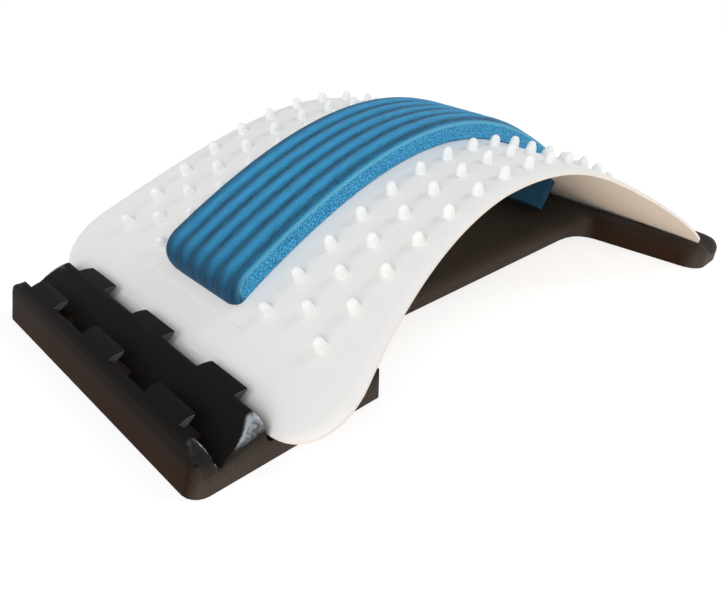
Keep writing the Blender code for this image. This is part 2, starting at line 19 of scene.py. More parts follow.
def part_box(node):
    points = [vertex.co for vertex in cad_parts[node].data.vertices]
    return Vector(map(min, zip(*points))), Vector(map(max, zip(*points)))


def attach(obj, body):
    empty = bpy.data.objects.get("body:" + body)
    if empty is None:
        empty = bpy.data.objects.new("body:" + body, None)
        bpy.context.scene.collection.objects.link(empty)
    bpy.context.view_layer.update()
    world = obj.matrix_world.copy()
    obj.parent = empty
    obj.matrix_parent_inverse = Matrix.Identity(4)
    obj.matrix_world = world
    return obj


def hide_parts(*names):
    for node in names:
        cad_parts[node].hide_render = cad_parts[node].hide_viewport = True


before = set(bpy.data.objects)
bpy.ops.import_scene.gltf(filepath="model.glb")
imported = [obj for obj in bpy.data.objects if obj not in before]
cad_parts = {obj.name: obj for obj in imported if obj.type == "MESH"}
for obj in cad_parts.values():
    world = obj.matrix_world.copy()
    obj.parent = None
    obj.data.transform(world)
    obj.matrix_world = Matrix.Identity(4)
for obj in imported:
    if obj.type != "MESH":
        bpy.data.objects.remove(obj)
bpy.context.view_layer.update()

bl_info = {
    "name": "Lumbar back stretcher",
    "version": (1, 0, 0),
    "blender": (4, 5, 0),
    "location": "View3D > Sidebar > Stretcher",
    "description": "Fine skins and finishes for an arched back stretcher",
    "category": "Object",
}

WELD = 1e-6
# Degrees between faces over which an edge is rounded, and under which faces of the base become one
PLATE_SHARP = 80
HOOK_SHARP = 50
BASE_SHARP = 55
BASE_FLAT = 0.4

# Arch of the plate: y and z of its crest, its curvature there and at both ends, and the table made of it
ARCH_TOP = (-0.0030, 0.0824)
CREST_CURVATURE = 4.55
CREST_SPREAD = 0.085
NEAR_CURVATURE = 1.80
FAR_CURVATURE = 1.50
ARCH_REACH = 0.26
ARCH_STEPS = 2080

# Outline of the plate along its length
PLATE_S = (-0.1774, 0.1910)
PLATE_THICKNESS = 0.0030
WAIST = 0.0800
WAIST_S = -0.030
NEAR_FLARE = 1.36
SIDE_SPREAD = 0.05
FAR_HALF_WIDTH = 0.1190
FLARE_MIDDLE_S = 0.112
FLARE_SOFTNESS = 0.022
NEAR_CORNER_R = 0.036
FAR_CORNER_R = 0.030
PLATE_EDGE_R = 0.0007
SLOT_EDGE_R = 0.00025
# Border along the rim, drawn down towards it
BORDER = 0.0060
BORDER_DIP = 0.0015

# Grid of the plate: straight columns in its middle, then shares of the way out to the border and past it
MIDDLE_HALF = 0.0385
MIDDLE_COLUMNS = 15
OUTER_SHARES = (0.14, 0.28, 0.42, 0.56, 0.70, 0.85, 1.0, 1.3, 1.55, 1.8, 2.0)
MIDDLE_ROWS = 66
CORNER_ROWS = 15
BORDER_ROWS = (0.25, 0.5, 0.75, 1.0)
# Least distance of a column and of a row from a slot's or the recess's edge, and from the next one
CLEARANCE = (0.0015, 0.0008)
LEAST_STEP = (0.0002, 0.00015)

# Label recess, left bare
RECESS_X = (-0.0365, 0.0335)
RECESS_S = (-0.16975, -0.15125)
RECESS_DEPTH = 0.0005
RECESS_SLOPE = 0.0004

# Nubs
NUB_COLUMNS = (0.0390, 0.0550, 0.0714)
NUB_ROWS = 15
NUB_PITCH = 0.020
NUB_SIDES = 20
# Share of the foot radius at each share of the height
NUB_OUTLINE = ((1.05, -0.2), (1.0, 0.0), (0.97, 0.16), (0.92, 0.36), (0.85, 0.55), (0.76, 0.71), (0.62, 0.85),
               (0.43, 0.94), (0.22, 0.987), (0.0, 1.0))

# Level block of the base
NEAR_Y = -0.1947
BLOCK_INNER_Y = -0.1030
BLOCK_LENGTH = BLOCK_INNER_Y - NEAR_Y
BLOCK_MIDDLE_Y = (BLOCK_INNER_Y + NEAR_Y) / 2
BLOCK_HALF = 0.0785
BLOCK_CORNER_R = 0.007
BLOCK_MARGIN = 0.002
LEVELS = 3
ROW_PITCH = 0.0224
HOOK_PITCH = 0.0494
HOOKS_HALF = 0.064
CREST_Y = NEAR_Y + 0.0062
RIM_Z = 0.0201
VALLEY_Z = 0.0097
RIDGE_Z = 0.0218
RAMP_HOLLOWING = 1.2
RAMP_SHARES = (0.12, 0.42, 0.75)
DECK_Z = 0.0185
# Distance from the block's inner end, and how far the deck has fallen there
DECK_FALL = ((0.0040, 0.0), (0.0014, 0.0026))
RIM_SHOULDER_R = 0.0140
RIDGE_SHOULDER_R = 0.0085
# Profile beside a crest, with y from it: outer side of the rim and of a ridge, rounding, and back
RIM_FRONT = ((-0.0049, 0.0080), (-0.0041, 0.0135), (-0.0028, 0.0174), (-0.0014, 0.0194))
RIDGE_FRONT = (-0.0014, 0.0212)
CREST_DROP = ((0.0, 0.0), (0.0013, 0.0005), (0.0020, 0.0018))
CREST_BACK = ((0.0024, 0.0170), (0.0027, 0.0124), (0.0038, 0.0103), (0.0052, VALLEY_Z))

# Fineness of the block's top, its margin, and how near a point lies on it or is brought on to it
FINE_EDGE = 0.0011
TOP_MARGIN = 0.0004
ON_SURFACE = 0.0002
NEAR_SURFACE = 0.0012
LEAST_RISE = 0.02
HOOK_EDGE_R = 0.0004
# Between which y the hooks lie
HOOKS_Y = (NEAR_Y + 0.004, BLOCK_INNER_Y - 0.010)
# Painted highlights on the shoulders, where the coat is glossier too: shares of the way out where they start
# and are full, how the patch fades outside and inside the crest line, where it starts and its share before
# that, and the line's half width and its run past the rim's crest
HIGHLIGHT_SHARE = (0.28, 0.53)
HIGHLIGHT_FADE = (0.0045, 0.0003)
HIGHLIGHT_Y = CREST_Y + ROW_PITCH * 0.375
RIM_HIGHLIGHT = 0.04
HIGHLIGHT_LINE = 0.0006
HIGHLIGHT_RUN = 0.0020

# Foot pads: share of the radius and height above the floor, from the middle outwards
FOOT_OUTLINE = ((0.0, 0.0004), (0.28, 0.0004), (0.34, 0.0), (0.52, 0.0), (0.58, 0.0004), (0.66, 0.0004),
                (0.72, 0.0), (0.93, 0.0), (0.98, 0.0002), (1.0, 0.0006))
FOOT_SIDES = 40
FEET = ("foot_pad_1", "foot_pad_2", "foot_pad_3", "foot_pad_4")

# Foam strip: its section, where it turns down, how far its ends hang, and how far its sides draw in there
FOAM_WIDTH = 0.0530
FOAM_CENTRE_X = -0.0010
FOAM_THICKNESS = 0.0114
FOAM_EDGE_R = 0.0009
FOAM_FOOT = 0.0003
FOAM_GAP = 0.0003
FOAM_TURNS = (-0.1338, 0.1280)
FOAM_TURN_R = 0.0010
FOAM_TAILS = (0.0150, 0.0230)
FOAM_TUCKS = (0.0040, 0.0)
FOAM_TUCK_RISE = 0.0110
FOAM_TUCK_DRIFT = 0.0012
NOSE_CORNER_R = 0.0050
# How much wider than the foam its slots are, below 0 as they squeeze it, and how deep they take hold
SLOT_MARGIN = -0.0006
SLOT_GRIP = 0.0006
# Heights of points on the cut sides, and how the ridged face falls off at its edges
SIDE_HEIGHTS = (0.0002, 0.0012, 0.0026, 0.0040, 0.0054, 0.0067, 0.0077)
CROWN = 0.0007
CROWN_REACH = 0.0022
# First groove from the right edge, how far that edge lies lower, least width of the last ridge, and where
# between two grooves a ridge's painted shade is lightest, on the side where the light falls
FIRST_GROOVE = 0.0035
EDGE_DROP = 0.0016
LAST_RIDGE = 0.004
LIGHT_SHARE = 0.63
# Stations of the strip: degrees turned at its ends, shares of a hanging end, and steps between the ends
TURN_DEGREES = (*np.linspace(90, 76, 20), *np.linspace(75, 60, 11), *np.linspace(57, 0, 16))
TAIL_SHARES = (1.0, 0.97, 0.8, 0.6, 0.4, 0.2, 0.1)
FOAM_STEPS = 130
# Bend of the skin, which also paints its shade darker towards the nose: at the start of the turn and where
# the grooves are filled, and degrees where it is full
NOSE_SHADE = 0.25
FILLED_BEND = 0.8
FULL_BEND = 75.0
# Painted highlight along the ribbed face's right edge: its colour and its width
LIP_HIGHLIGHT_COLOUR = (0.170, 0.520, 0.680, 1.0)
LIP_WIDTH = 0.0010
# How much lighter the cut sides are where they catch the light
CUT_GLOW = (0.11, 0.27, 0.27)

# Finish of the base: painted reflections on its walls, painted sheen on the hook ends, painted warm bounce
# light down the windows, painted highlights on the shoulders
# Painted reflections on the walls: brown facing the hooked end, grey on the sides, fading upwards between two
# heights, and painted lighter on the beam beyond the block
END_WALL_REFLECTION_COLOUR = (0.0205, 0.0056, 0.0005, 1.0)
SIDE_WALL_REFLECTION_COLOUR = (0.064, 0.054, 0.048, 1.0)
WALL_MARGIN = (0.004, 0.005)
WALL_REFLECTION_Z = (0.0040, 0.0170)
BEAM_FADE = 0.010
# Painted sheen on the hooks' end faces
HOOK_END_SHEEN_COLOUR = (0.085, 0.093, 0.104, 1.0)
HOOK_END_Z = (0.0130, 0.0150)
# Painted warm bounce light down the windows under the hooks
WINDOW_BOUNCE_COLOUR = (0.060, 0.019, 0.009, 1.0)
WINDOW_Y = CREST_Y + 0.0058
WINDOW_HALF = (0.0134, 0.0034)
WINDOW_TOP_Z = (0.0115, 0.0130)
WINDOW_FOOT_Z = (0.0040, 0.0050)
# Colour of the painted highlights on the shoulders
PAINTED_HIGHLIGHT_COLOUR = (0.31, 0.35, 0.39, 1.0)

# Rays for which the stage is white
SEEN_RAYS = ("Is Camera Ray", "Is Glossy Ray", "Is Transmission Ray")
# Floor as those rays see it: the part that takes a shadow, and its glow near the object and far away
FLOOR_SIZE = 6.0
FLOOR_SHADE = 0.36
FLOOR_GLOW = (0.76, 0.83)
FLOOR_FADE = (0.35, 1.1)
# Share of its bounce colour that the floor gives off itself
FLOOR_WARMTH = 0.26
# Heights, as directions, between which the studio walls fade into the room above
WALL_TOP = (0.14, 0.34)
# Place, width and colour of each lamp
LAMP_TARGET = (0.0, 0.0, 0.04)
LAMPS = {
    "key light": ((0.52, 0.70, 1.10), 0.55, (1.0, 0.99, 0.975)),
    "fill light": ((0.45, -1.25, 0.72), 1.10, (0.98, 0.99, 1.0)),
    "rim light": ((0.30, 0.92, 0.85), 0.30, (0.95, 0.98, 1.0)),
}

# Viewpoint of the photograph
CAMERA_PLACE = (0.21941538, -0.27992710, 0.17396915)
CAMERA_FORWARD = (-0.60263908, 0.65241361, -0.45954597)
CAMERA_RIGHT = (0.70459, 0.70538, 0.07743)
CAMERA_LENS = 32.9566
CAMERA_SHIFT = (0.0151920, -0.0285630)
CAMERA_NEAREST = 0.01


def ramp(value, low, high):
    """0 at the low value, 1 at the high one, and held there outside them."""
    return min(max((value - low) / (high - low), 0.0), 1.0)


def within(value, pair, margin=0.0):
    return min(pair) + margin < value < max(pair) - margin


# The arch

def arch_table():
    """Arc length, y, z and slope of the plate's upper surface, from its curvature."""
    s = np.linspace(-ARCH_REACH, ARCH_REACH, ARCH_STEPS + 1)
    end = np.where(s < 0, NEAR_CURVATURE, FAR_CURVATURE)
    curvature = end + CREST_CURVATURE * np.exp(-(s / CREST_SPREAD) ** 2)
    step = s[1] - s[0]

    def integral(values):
        total = np.concatenate(([0.0], np.cumsum((values[1:] + values[:-1]) / 2 * step)))
        return total - total[ARCH_STEPS // 2]

    slope = -integral(curvature)
    return s, ARCH_TOP[0] + integral(np.cos(slope)), ARCH_TOP[1] + integral(np.sin(slope)), slope


ARCH = arch_table()


def arch_at(s):
    """y, z and slope of the plate's upper surface."""
    return tuple(float(np.interp(s, ARCH[0], column)) for column in ARCH[1:])


def on_arch(x, s, height):
    """Place of a point of the flat plate once the plate is bent."""
    y, z, slope = arch_at(s)
    return Vector((x, y - height * math.sin(slope), z + height * math.cos(slope)))


def bend_to_arch(bm):
    for vert in bm.verts:
        vert.co = on_arch(*vert.co)


def round_inset(distance, radius):
    """How far a rounded corner pulls an edge in at a distance from the end."""
    if distance >= radius:
        return 0.0
    return radius - math.sqrt(max(0.0, radius ** 2 - (radius - distance) ** 2))


def plate_half_width(s):
    near = WAIST + NEAR_FLARE * min(s - WAIST_S, 0.0) ** 2
    share = 1 / (1 + math.exp(-(s - FLARE_MIDDLE_S) / FLARE_SOFTNESS))
    side = near + SIDE_SPREAD * max(0.0, s - WAIST_S)
    width = side + (FAR_HALF_WIDTH - side) * share
    return width - round_inset(s - PLATE_S[0], NEAR_CORNER_R) - round_inset(PLATE_S[1] - s, FAR_CORNER_R)


# Mesh helpers

def mesh_of(name, bm):
    mesh = bpy.data.meshes.new(name)
    bm.to_mesh(mesh)
    bm.free()
    return mesh


def placed(name, data):
    """A new object in the scene."""
    made = bpy.data.objects.new(name, data)
    bpy.context.scene.collection.objects.link(made)
    return made


def finish_piece(name, bm, body, materials, sharp_degrees=40.0):
    """Turn a bmesh into a piece at the origin that rides on a body."""
    bmesh.ops.recalc_face_normals(bm, faces=bm.faces)
    mesh = mesh_of(name, bm)
    mesh.shade_smooth()
    mesh.set_sharp_from_angle(angle=math.radians(sharp_degrees))
    for material in materials:
        mesh.materials.append(material)
    piece = placed(name, mesh)
    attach(piece, body)
    return piece


def grid_of(bm, columns, rows, place):
    """A grid whose vertex (i, j) goes to place(i, j); gives the pair of each vertex."""
    pairs = {}
    for vert in bmesh.ops.create_grid(bm, x_segments=columns - 1, y_segments=rows - 1, size=0.5)["verts"]:
        i = round((vert.co.x + 0.5) * (columns - 1))
        j = round((vert.co.y + 0.5) * (rows - 1))
        pairs[vert] = (i, j)
        vert.co = place(i, j)
    return pairs


def spun(outline, sides):
    """A bmesh turned from an outline of radii and heights."""
    bm = bmesh.new()
    verts = [bm.verts.new((x, 0.0, z)) for x, z in outline]
    edges = [bm.edges.new(pair) for pair in zip(verts, verts[1:])]
    bmesh.ops.spin(bm, geom=verts + edges, cent=(0, 0, 0), axis=(0, 0, 1), angle=math.tau, steps=sides,
                   use_merge=True)
    bmesh.ops.remove_doubles(bm, verts=bm.verts, dist=WELD)
    return bm


def is_sharp(edge, degrees):
    return len(edge.link_faces) == 2 and edge.calc_face_angle() > math.radians(degrees)


def round_edges(bm, edges, radius, segments):
    bmesh.ops.bevel(bm, geom=edges, offset=radius, offset_type="OFFSET", segments=segments, profile=0.5,
                    affect="EDGES", clamp_overlap=True, material=-1)


def merged(values, gap):
    """Sorted values, with those closer together than a gap left out."""
    kept = []
    for value in sorted(values):
        if not kept or value - kept[-1] > gap:
            kept.append(value)
    return kept


# Shader helpers

class Value:
    """A shader socket that takes part in Python expressions."""

    def __init__(self, finish, socket):
        self.finish = finish
        self.socket = socket

    def math(self, operation, *others):
        sockets = dict(enumerate((self, *others)))
        return self.finish.node("ShaderNodeMath", {"operation": operation}, sockets)

    def __add__(self, other):
        return self.math("ADD", other)

    def __sub__(self, other):
        return self.math("SUBTRACT", other)

    def __mul__(self, other):
        return self.math("MULTIPLY", other)

    def __rsub__(self, other):
        return self.finish.node("ShaderNodeMath", {"operation": "SUBTRACT"}, {0: other, 1: self})

    __radd__ = __add__
    __rmul__ = __mul__

    def __abs__(self):
        return self.math("ABSOLUTE")

    def over(self, limit):
        """1 where the value is over a limit, otherwise 0."""
        return self.math("GREATER_THAN", limit)

    def length(self):
        return self.finish.node("ShaderNodeVectorMath", {"operation": "LENGTH"}, {0: self}, output="Value")

    def clamped(self, low, high):
        """The value mapped from low..high to 0..1 and held there."""
        sockets = {"Value": self, "From Min": low, "From Max": high}
        return self.finish.node("ShaderNodeMapRange", {"clamp": True}, sockets)


class Finish:
    """A material with one Principled shader, built up node by node."""

    def __init__(self, name, constants=None):
        self.material = bpy.data.materials.new(name)
        self.material.use_nodes = True
        self.tree = self.material.node_tree
        self.shader = self.tree.nodes["Principled BSDF"]
        for key, value in (constants or {}).items():
            self.shader.inputs[key].default_value = value

    def node(self, kind, settings=None, sockets=None, output=0):
        """Add a node with its settings and its sockets' values or links, and give one of its outputs."""
        made = self.tree.nodes.new(kind)
        for name, value in (settings or {}).items():
            setattr(made, name, value)
        for key, value in (sockets or {}).items():
            if isinstance(value, Value):
                self.tree.links.new(value.socket, made.inputs[key])
            else:
                made.inputs[key].default_value = value
        return Value(self, made.outputs[output])

    def coordinates(self, scale=(1, 1, 1), source="Object"):
        place = self.node("ShaderNodeTexCoord", output=source)
        return self.node("ShaderNodeMapping", {}, {"Vector": place, "Scale": scale})

    def axes(self, vector):
        return [self.node("ShaderNodeSeparateXYZ", {}, {0: vector}, axis) for axis in "XYZ"]

    def attribute(self, name):
        return self.node("ShaderNodeAttribute", {"attribute_name": name}, output="Fac")

    def noise(self, scale, detail, stretch=(1, 1, 1), source="Object"):
        sockets = {"Vector": self.coordinates(stretch, source), "Scale": scale, "Detail": detail}
        return self.node("ShaderNodeTexNoise", {}, sockets)

    def mix(self, share, first, second):
        settings = {"data_type": "RGBA"}
        return self.node("ShaderNodeMix", settings, {0: share, 6: first, 7: second}, output=2)

    def bump(self, height, strength, distance):
        sockets = {"Height": height, "Strength": strength, "Distance": distance}
        self.set("Normal", self.node("ShaderNodeBump", {}, sockets))

    def set(self, socket, value):
        self.tree.links.new(value.socket, self.shader.inputs[socket])


def tint(colour, factor=1.0):
    return (*(channel * factor for channel in colour), 1.0)


# Finishes

def block_masks(finish, across, upward):
    """1 inside the level block's walls, over the hooks' width, on the hooks' ends and down the windows."""
    x, y, z = finish.axes(finish.coordinates())
    inside = (BLOCK_HALF - WALL_MARGIN[0] - abs(x)).over(0.0)
    inside = inside * (BLOCK_LENGTH / 2 - WALL_MARGIN[1] - abs(y - BLOCK_MIDDLE_Y)).over(0.0)
    middle = (HOOKS_HALF - abs(x)).over(0.0) * inside
    hook_ends = middle * across.clamped(0.80, 0.97) * z.clamped(*HOOK_END_Z)
    windows = middle * (1 - upward).clamped(0.85, 0.97) * (1 - z.clamped(*WINDOW_TOP_Z))
    windows = windows * z.clamped(*WINDOW_FOOT_Z)
    places = ((x, 0.0, HOOK_PITCH, WINDOW_HALF[0]), (y, WINDOW_Y, ROW_PITCH, WINDOW_HALF[1]))
    for along, centre, pitch, half in places:
        wave = ((along - centre) * (math.tau / pitch)).math("COSINE")
        windows = windows * wave.over(math.cos(math.tau * half / pitch))
    return inside, middle, hook_ends, windows


def black_plastic(colour):
    """Moulded black plastic with leather grain, painted reflections on its walls and painted highlights where
    the shoulders turn over.
    """
    finish = Finish("black moulded plastic", {"Specular IOR Level": 0.05, "Coat Roughness": 0.22})
    grain = finish.noise(1500.0, 3.0)
    lumps = finish.noise(900.0, 3.0)
    cloud = finish.noise(22.0, 3.0)
    speckle = grain.clamped(0.3, 0.7)
    # These two attributes hold the painted highlights on the shoulders: a patch and the line along their
    # crest
    painted_highlight, crest = finish.attribute("painted_highlight"), finish.attribute("crest")
    facing = finish.axes(finish.node("ShaderNodeNewGeometry", output="Normal"))
    across, upward, backward = abs(facing[0]), abs(facing[2]), facing[1].clamped(0.3, 0.8)
    inside, middle, hook_ends, windows = block_masks(finish, across, upward)

    _, y, z = finish.axes(finish.coordinates())
    # Painted reflections on the walls: brown facing the hooked end and grey on the sides, stronger lower down
    # and lighter on the beam and far bar; the speckle is the leather grain
    beyond = y.clamped(BLOCK_INNER_Y, BLOCK_INNER_Y + BEAM_FADE)
    low_down = 1.30 - z.clamped(*WALL_REFLECTION_Z) * 1.18
    reflection_share = (1 - upward).clamped(0.25, 0.95) * (1 - inside * 0.8) * low_down + beyond * (0.35 + upward * 0.45)
    neutral = (across + backward + beyond * (upward + 0.1)).clamped(0.25, 0.85)
    dust = finish.mix(neutral, END_WALL_REFLECTION_COLOUR, SIDE_WALL_REFLECTION_COLOUR)
    base_with_painted_light = finish.mix((reflection_share * (0.55 + speckle * 0.9)).clamped(0.0, 1.2), tint(colour), dust)
    # Painted sheen on the hook ends and painted warm bounce light down the windows
    base_with_painted_light = finish.mix(hook_ends * (0.6 + speckle * 0.4), base_with_painted_light, HOOK_END_SHEEN_COLOUR)
    base_with_painted_light = finish.mix(windows, base_with_painted_light, WINDOW_BOUNCE_COLOUR)

    # Painted highlights on the shoulders: a lumpy patch and the crest line
    patch = painted_highlight * (lumps.clamped(0.36, 0.70) * 1.4 + 0.50)
    painted_glint = (patch + crest * (0.7 + speckle * 0.5)).clamped(0.0, 1.0)
    # Painted highlight along the hooks' top edges
    painted_edge_highlight = middle * (across * upward).clamped(0.25, 0.42) * z.clamped(*HOOK_END_Z) * (1 - painted_highlight)
    finish.set("Base Color", finish.mix(painted_glint + painted_edge_highlight * 0.5, base_with_painted_light, PAINTED_HIGHLIGHT_COLOUR))
    finish.set("Roughness", 0.42 + cloud * 0.10 + grain * 0.15)
    # The coat is glossier where the shoulder highlights are painted
    finish.set("Coat Weight", (painted_highlight + crest).clamped(0.0, 1.0))
    finish.bump(grain * 0.4 + lumps * (0.1 + painted_highlight * 0.8), 0.40, 0.0002)
    return finish.material


def white_plastic(name, colour):
    """Satin white plastic with faint flow clouds."""
    finish = Finish(name, {"Specular IOR Level": 0.32})
    cloud = finish.noise(14.0, 3.0)
    peel = finish.noise(700.0, 2.0)
    finish.set("Base Color", finish.mix(cloud.clamped(0.3, 0.7), tint(colour, 0.985), tint(colour)))
    finish.set("Roughness", 0.32 + cloud * 0.10)
    finish.bump(peel, 0.12, 0.00008)
    return finish.material


def foam_skin(ridge, groove, nose):
    """Moulded foam skin: streaked ridges, painted shade down the grooves and round the nose, and painted
    sheen down the nose's grooves.
    """
    finish = Finish("ribbed foam skin", {"Sheen Weight": 0.05, "Specular IOR Level": 0.1})
    depth, bend, lip_highlight = (finish.attribute(name) for name in ("groove", "bend", "lip_highlight"))
    streak = finish.noise(1.0, 3.0, (1100.0, 130.0, 1.0), "UV")
    fleck = finish.noise(1.0, 3.0, (1500.0, 700.0, 1.0), "UV")
    band = finish.noise(1.0, 2.0, (260.0, 30.0, 1.0), "UV")
    streaks = (streak.clamped(0.3, 0.7) - 0.5) * 0.34 + (fleck.clamped(0.3, 0.7) - 0.5) * 0.30
    # Painted shade: darker down the grooves, lightest near each ridge's right side, with random streaks and
    # bands
    shade = (depth * 0.95 + (streaks + (band - 0.5) * 0.4)).clamped(-0.45, 1.2)
    ribbed = finish.mix(shade, tint(ridge), tint(groove))
    # Round the nose the painted shade is darker, with painted sheen down its grooves
    banded = finish.mix((depth * 0.8 + streaks * 0.6).clamped(0.0, 1.0), tint(nose, 1.2), tint(nose, 0.55))
    painted_groove_sheen = tuple(channel * share + 0.01 for channel, share in zip(nose, (1.2, 1.15, 0.95)))
    smooth = finish.mix(depth.math("POWER", 9.0) * 0.8, banded, tint(painted_groove_sheen))
    skin = finish.mix(bend.clamped(0.06, 0.75), ribbed, smooth)
    # Painted highlight along the right edge of the ribbed face
    finish.set("Base Color", finish.mix(lip_highlight * (0.70 - bend * 0.58), skin, LIP_HIGHLIGHT_COLOUR))
    finish.set("Roughness", 0.62 + streak * 0.2)
    finish.bump(streak * 0.5 + fleck * 0.6, 0.35, 0.00025)
    return finish.material


def foam_cut(colour, skin):
    """Cut side of the foam: open cells that catch the light, until the skin wraps round the nose."""
    finish = Finish("cut foam", {"Specular IOR Level": 0.3})
    sockets = {"Vector": finish.coordinates(), "Scale": 1700.0}
    cells = finish.node("ShaderNodeTexVoronoi", {"feature": "F1"}, sockets)
    fleck = finish.noise(1300.0, 3.0)
    wrap, lip_highlight = finish.attribute("wrap"), finish.attribute("lip_highlight")
    light = (fleck + (0.5 - cells) * 0.45).clamped(0.40, 0.70)
    bright = [channel * 1.25 + glow for channel, glow in zip(colour, CUT_GLOW)]
    cut = finish.mix(light, tint(colour, 0.68), tint(bright))
    # Where the skin wraps on to the cut side it takes the nose's painted shade; painted highlight along the
    # top edge
    finish.set("Base Color", finish.mix(wrap, finish.mix(lip_highlight * 0.6, cut, LIP_HIGHLIGHT_COLOUR), tint(skin)))
    finish.set("Roughness", 0.7 + cells * 0.2)
    finish.bump(fleck + (1 - cells) * 0.8, 0.6, 0.0004)
    return finish.material


def rubber():
    finish = Finish("foot rubber")
    dust = finish.noise(900.0, 3.0)
    dark, pale = (0.024, 0.024, 0.024), (0.045, 0.045, 0.044)
    finish.set("Base Color", finish.mix(dust.clamped(0.4, 0.7), tint(dark), tint(pale)))
    finish.set("Roughness", 0.75 + dust * 0.2)
    finish.bump(dust, 0.3, 0.0002)
    return finish.material


# User settings

class StretcherPlateSettings(bpy.types.PropertyGroup):
    colour: FloatVectorProperty(name="Plate colour", description="Colour of the arch plate",
                                subtype="COLOR", size=3, min=0, max=1, default=(0.82, 0.82, 0.815))
    # Lighter than the plate's white: painted light on the nubs
    nub_lit_colour: FloatVectorProperty(name="Nub colour", description="Colour of the nubs on the plate",
                                    subtype="COLOR", size=3, min=0, max=1, default=(0.90, 0.92, 0.925))
    nub_height: FloatProperty(name="Nub height", description="How far a nub stands out of the plate",
                              unit="LENGTH", default=0.0057, min=0.003, max=0.012)
    nub_radius: FloatProperty(name="Nub radius", description="Radius of a nub at its foot",
                              unit="LENGTH", default=0.0029, min=0.002, max=0.005)


class StretcherFoamSettings(bpy.types.PropertyGroup):
    groove_pitch: FloatProperty(name="Groove pitch", description="Distance from one groove to the next",
                                unit="LENGTH", default=0.0096, min=0.005, max=0.02)
    groove_depth: FloatProperty(name="Groove depth", description="Depth of the grooves between the ridges",
                                unit="LENGTH", default=0.0010, min=0.0005, max=0.005)
    ridge_colour: FloatVectorProperty(name="Ridge colour", description="Colour on top of the ridges",
                                      subtype="COLOR", size=3, min=0, max=1, default=(0.050, 0.385, 0.720))
    # Groove colour is painted shade
    groove_shade_colour: FloatVectorProperty(name="Groove colour", description="Colour down in the grooves",
                                       subtype="COLOR", size=3, min=0, max=1, default=(0.010, 0.042, 0.082))
    # Nose colour is painted shade on the skin round the nose
    nose_shade_colour: FloatVectorProperty(name="Nose colour", description="Colour of the skin round the nose",
                                     subtype="COLOR", size=3, min=0, max=1, default=(0.009, 0.066, 0.142))
    cut_colour: FloatVectorProperty(name="Cut colour", description="Colour of the foam's cut sides",
                                    subtype="COLOR", size=3, min=0, max=1, default=(0.012, 0.260, 0.560))


class StretcherBaseSettings(bpy.types.PropertyGroup):
    colour: FloatVectorProperty(name="Base colour", description="Colour of the moulded base",
                                subtype="COLOR", size=3, min=0, max=1, default=(0.0068, 0.0060, 0.0052))
    edge_radius: FloatProperty(name="Edge radius", description="Rounding of the base's edges",
                               unit="LENGTH", default=0.0005, min=0.0001, max=0.002)


class StretcherStageSettings(bpy.types.PropertyGroup):
    key_power: FloatProperty(name="Key light", description="Power of the soft light behind on the right",
                             unit="POWER", default=4.0, min=0, max=100)
    rim_power: FloatProperty(name="Rim light", description="Power of the small light behind",
                             unit="POWER", default=1.2, min=0, max=100)
    fill_power: FloatProperty(name="Fill light", description="Power of the large light before the hooked end",
                              unit="POWER", default=8.9, min=0, max=100)
    sky_strength: FloatProperty(name="Room", description="Strength of the even light from the room above",
                                default=0.45, min=0, max=3)
    bounce: FloatVectorProperty(name="Bounce", description="Colour that the floor throws back up",
                                subtype="COLOR", size=3, min=0, max=1, default=(0.98, 0.79, 0.61))


# Arch plate

def slots():
    """Where the foam's ends pass through the plate: each slot's range across and range along."""
    found = []
    for side, turn, tuck in zip((-1, 1), FOAM_TURNS, FOAM_TUCKS):
        centre = FOAM_CENTRE_X + FOAM_TUCK_DRIFT * tuck / FOAM_TUCKS[0]
        half = FOAM_WIDTH / 2 - tuck + SLOT_MARGIN
        ends = [turn + side * (FOAM_TURN_R + reach) for reach in (-SLOT_MARGIN, FOAM_THICKNESS + SLOT_MARGIN)]
        found.append(((centre - half, centre + half), (min(ends), max(ends))))
    return found


SLOTS = slots()


def in_slot(point, margin=0.0):
    return any(within(point.x, across, margin) and within(point.y, along, margin) for across, along in SLOTS)


def recess_edges(pair):
    """Both ends of the recess's range, each with the foot of its slope."""
    return [x for end, out in zip(pair, (-1, 1)) for x in (end, end - out * RECESS_SLOPE)]


def clear_of(edges, values, clearance):
    return [value for value in values if min(abs(value - edge) for edge in edges) > clearance]


def plate_columns():
    """Places across of the straight columns over the slots and the recess."""
    edges = [x for across, _ in SLOTS for x in across] + recess_edges(RECESS_X)
    even = np.linspace(-MIDDLE_HALF, MIDDLE_HALF, MIDDLE_COLUMNS)
    return merged(edges + clear_of(edges, even, CLEARANCE[0]), LEAST_STEP[0])


def plate_rows():
    edges = [s for _, along in SLOTS for s in along] + recess_edges(RECESS_S)
    rows = list(np.linspace(PLATE_S[0] + NEAR_CORNER_R, PLATE_S[1] - FAR_CORNER_R, MIDDLE_ROWS))
    for turn in np.radians(np.linspace(0, 90, CORNER_ROWS)):
        rows.append(PLATE_S[0] + NEAR_CORNER_R * (1 - math.cos(turn)))
        rows.append(PLATE_S[1] - FAR_CORNER_R * (1 - math.cos(turn)))
    for share in BORDER_ROWS:
        rows += [PLATE_S[0] + BORDER * share, PLATE_S[1] - BORDER * share]
    return merged(edges + clear_of(edges, rows, CLEARANCE[1]), LEAST_STEP[1])


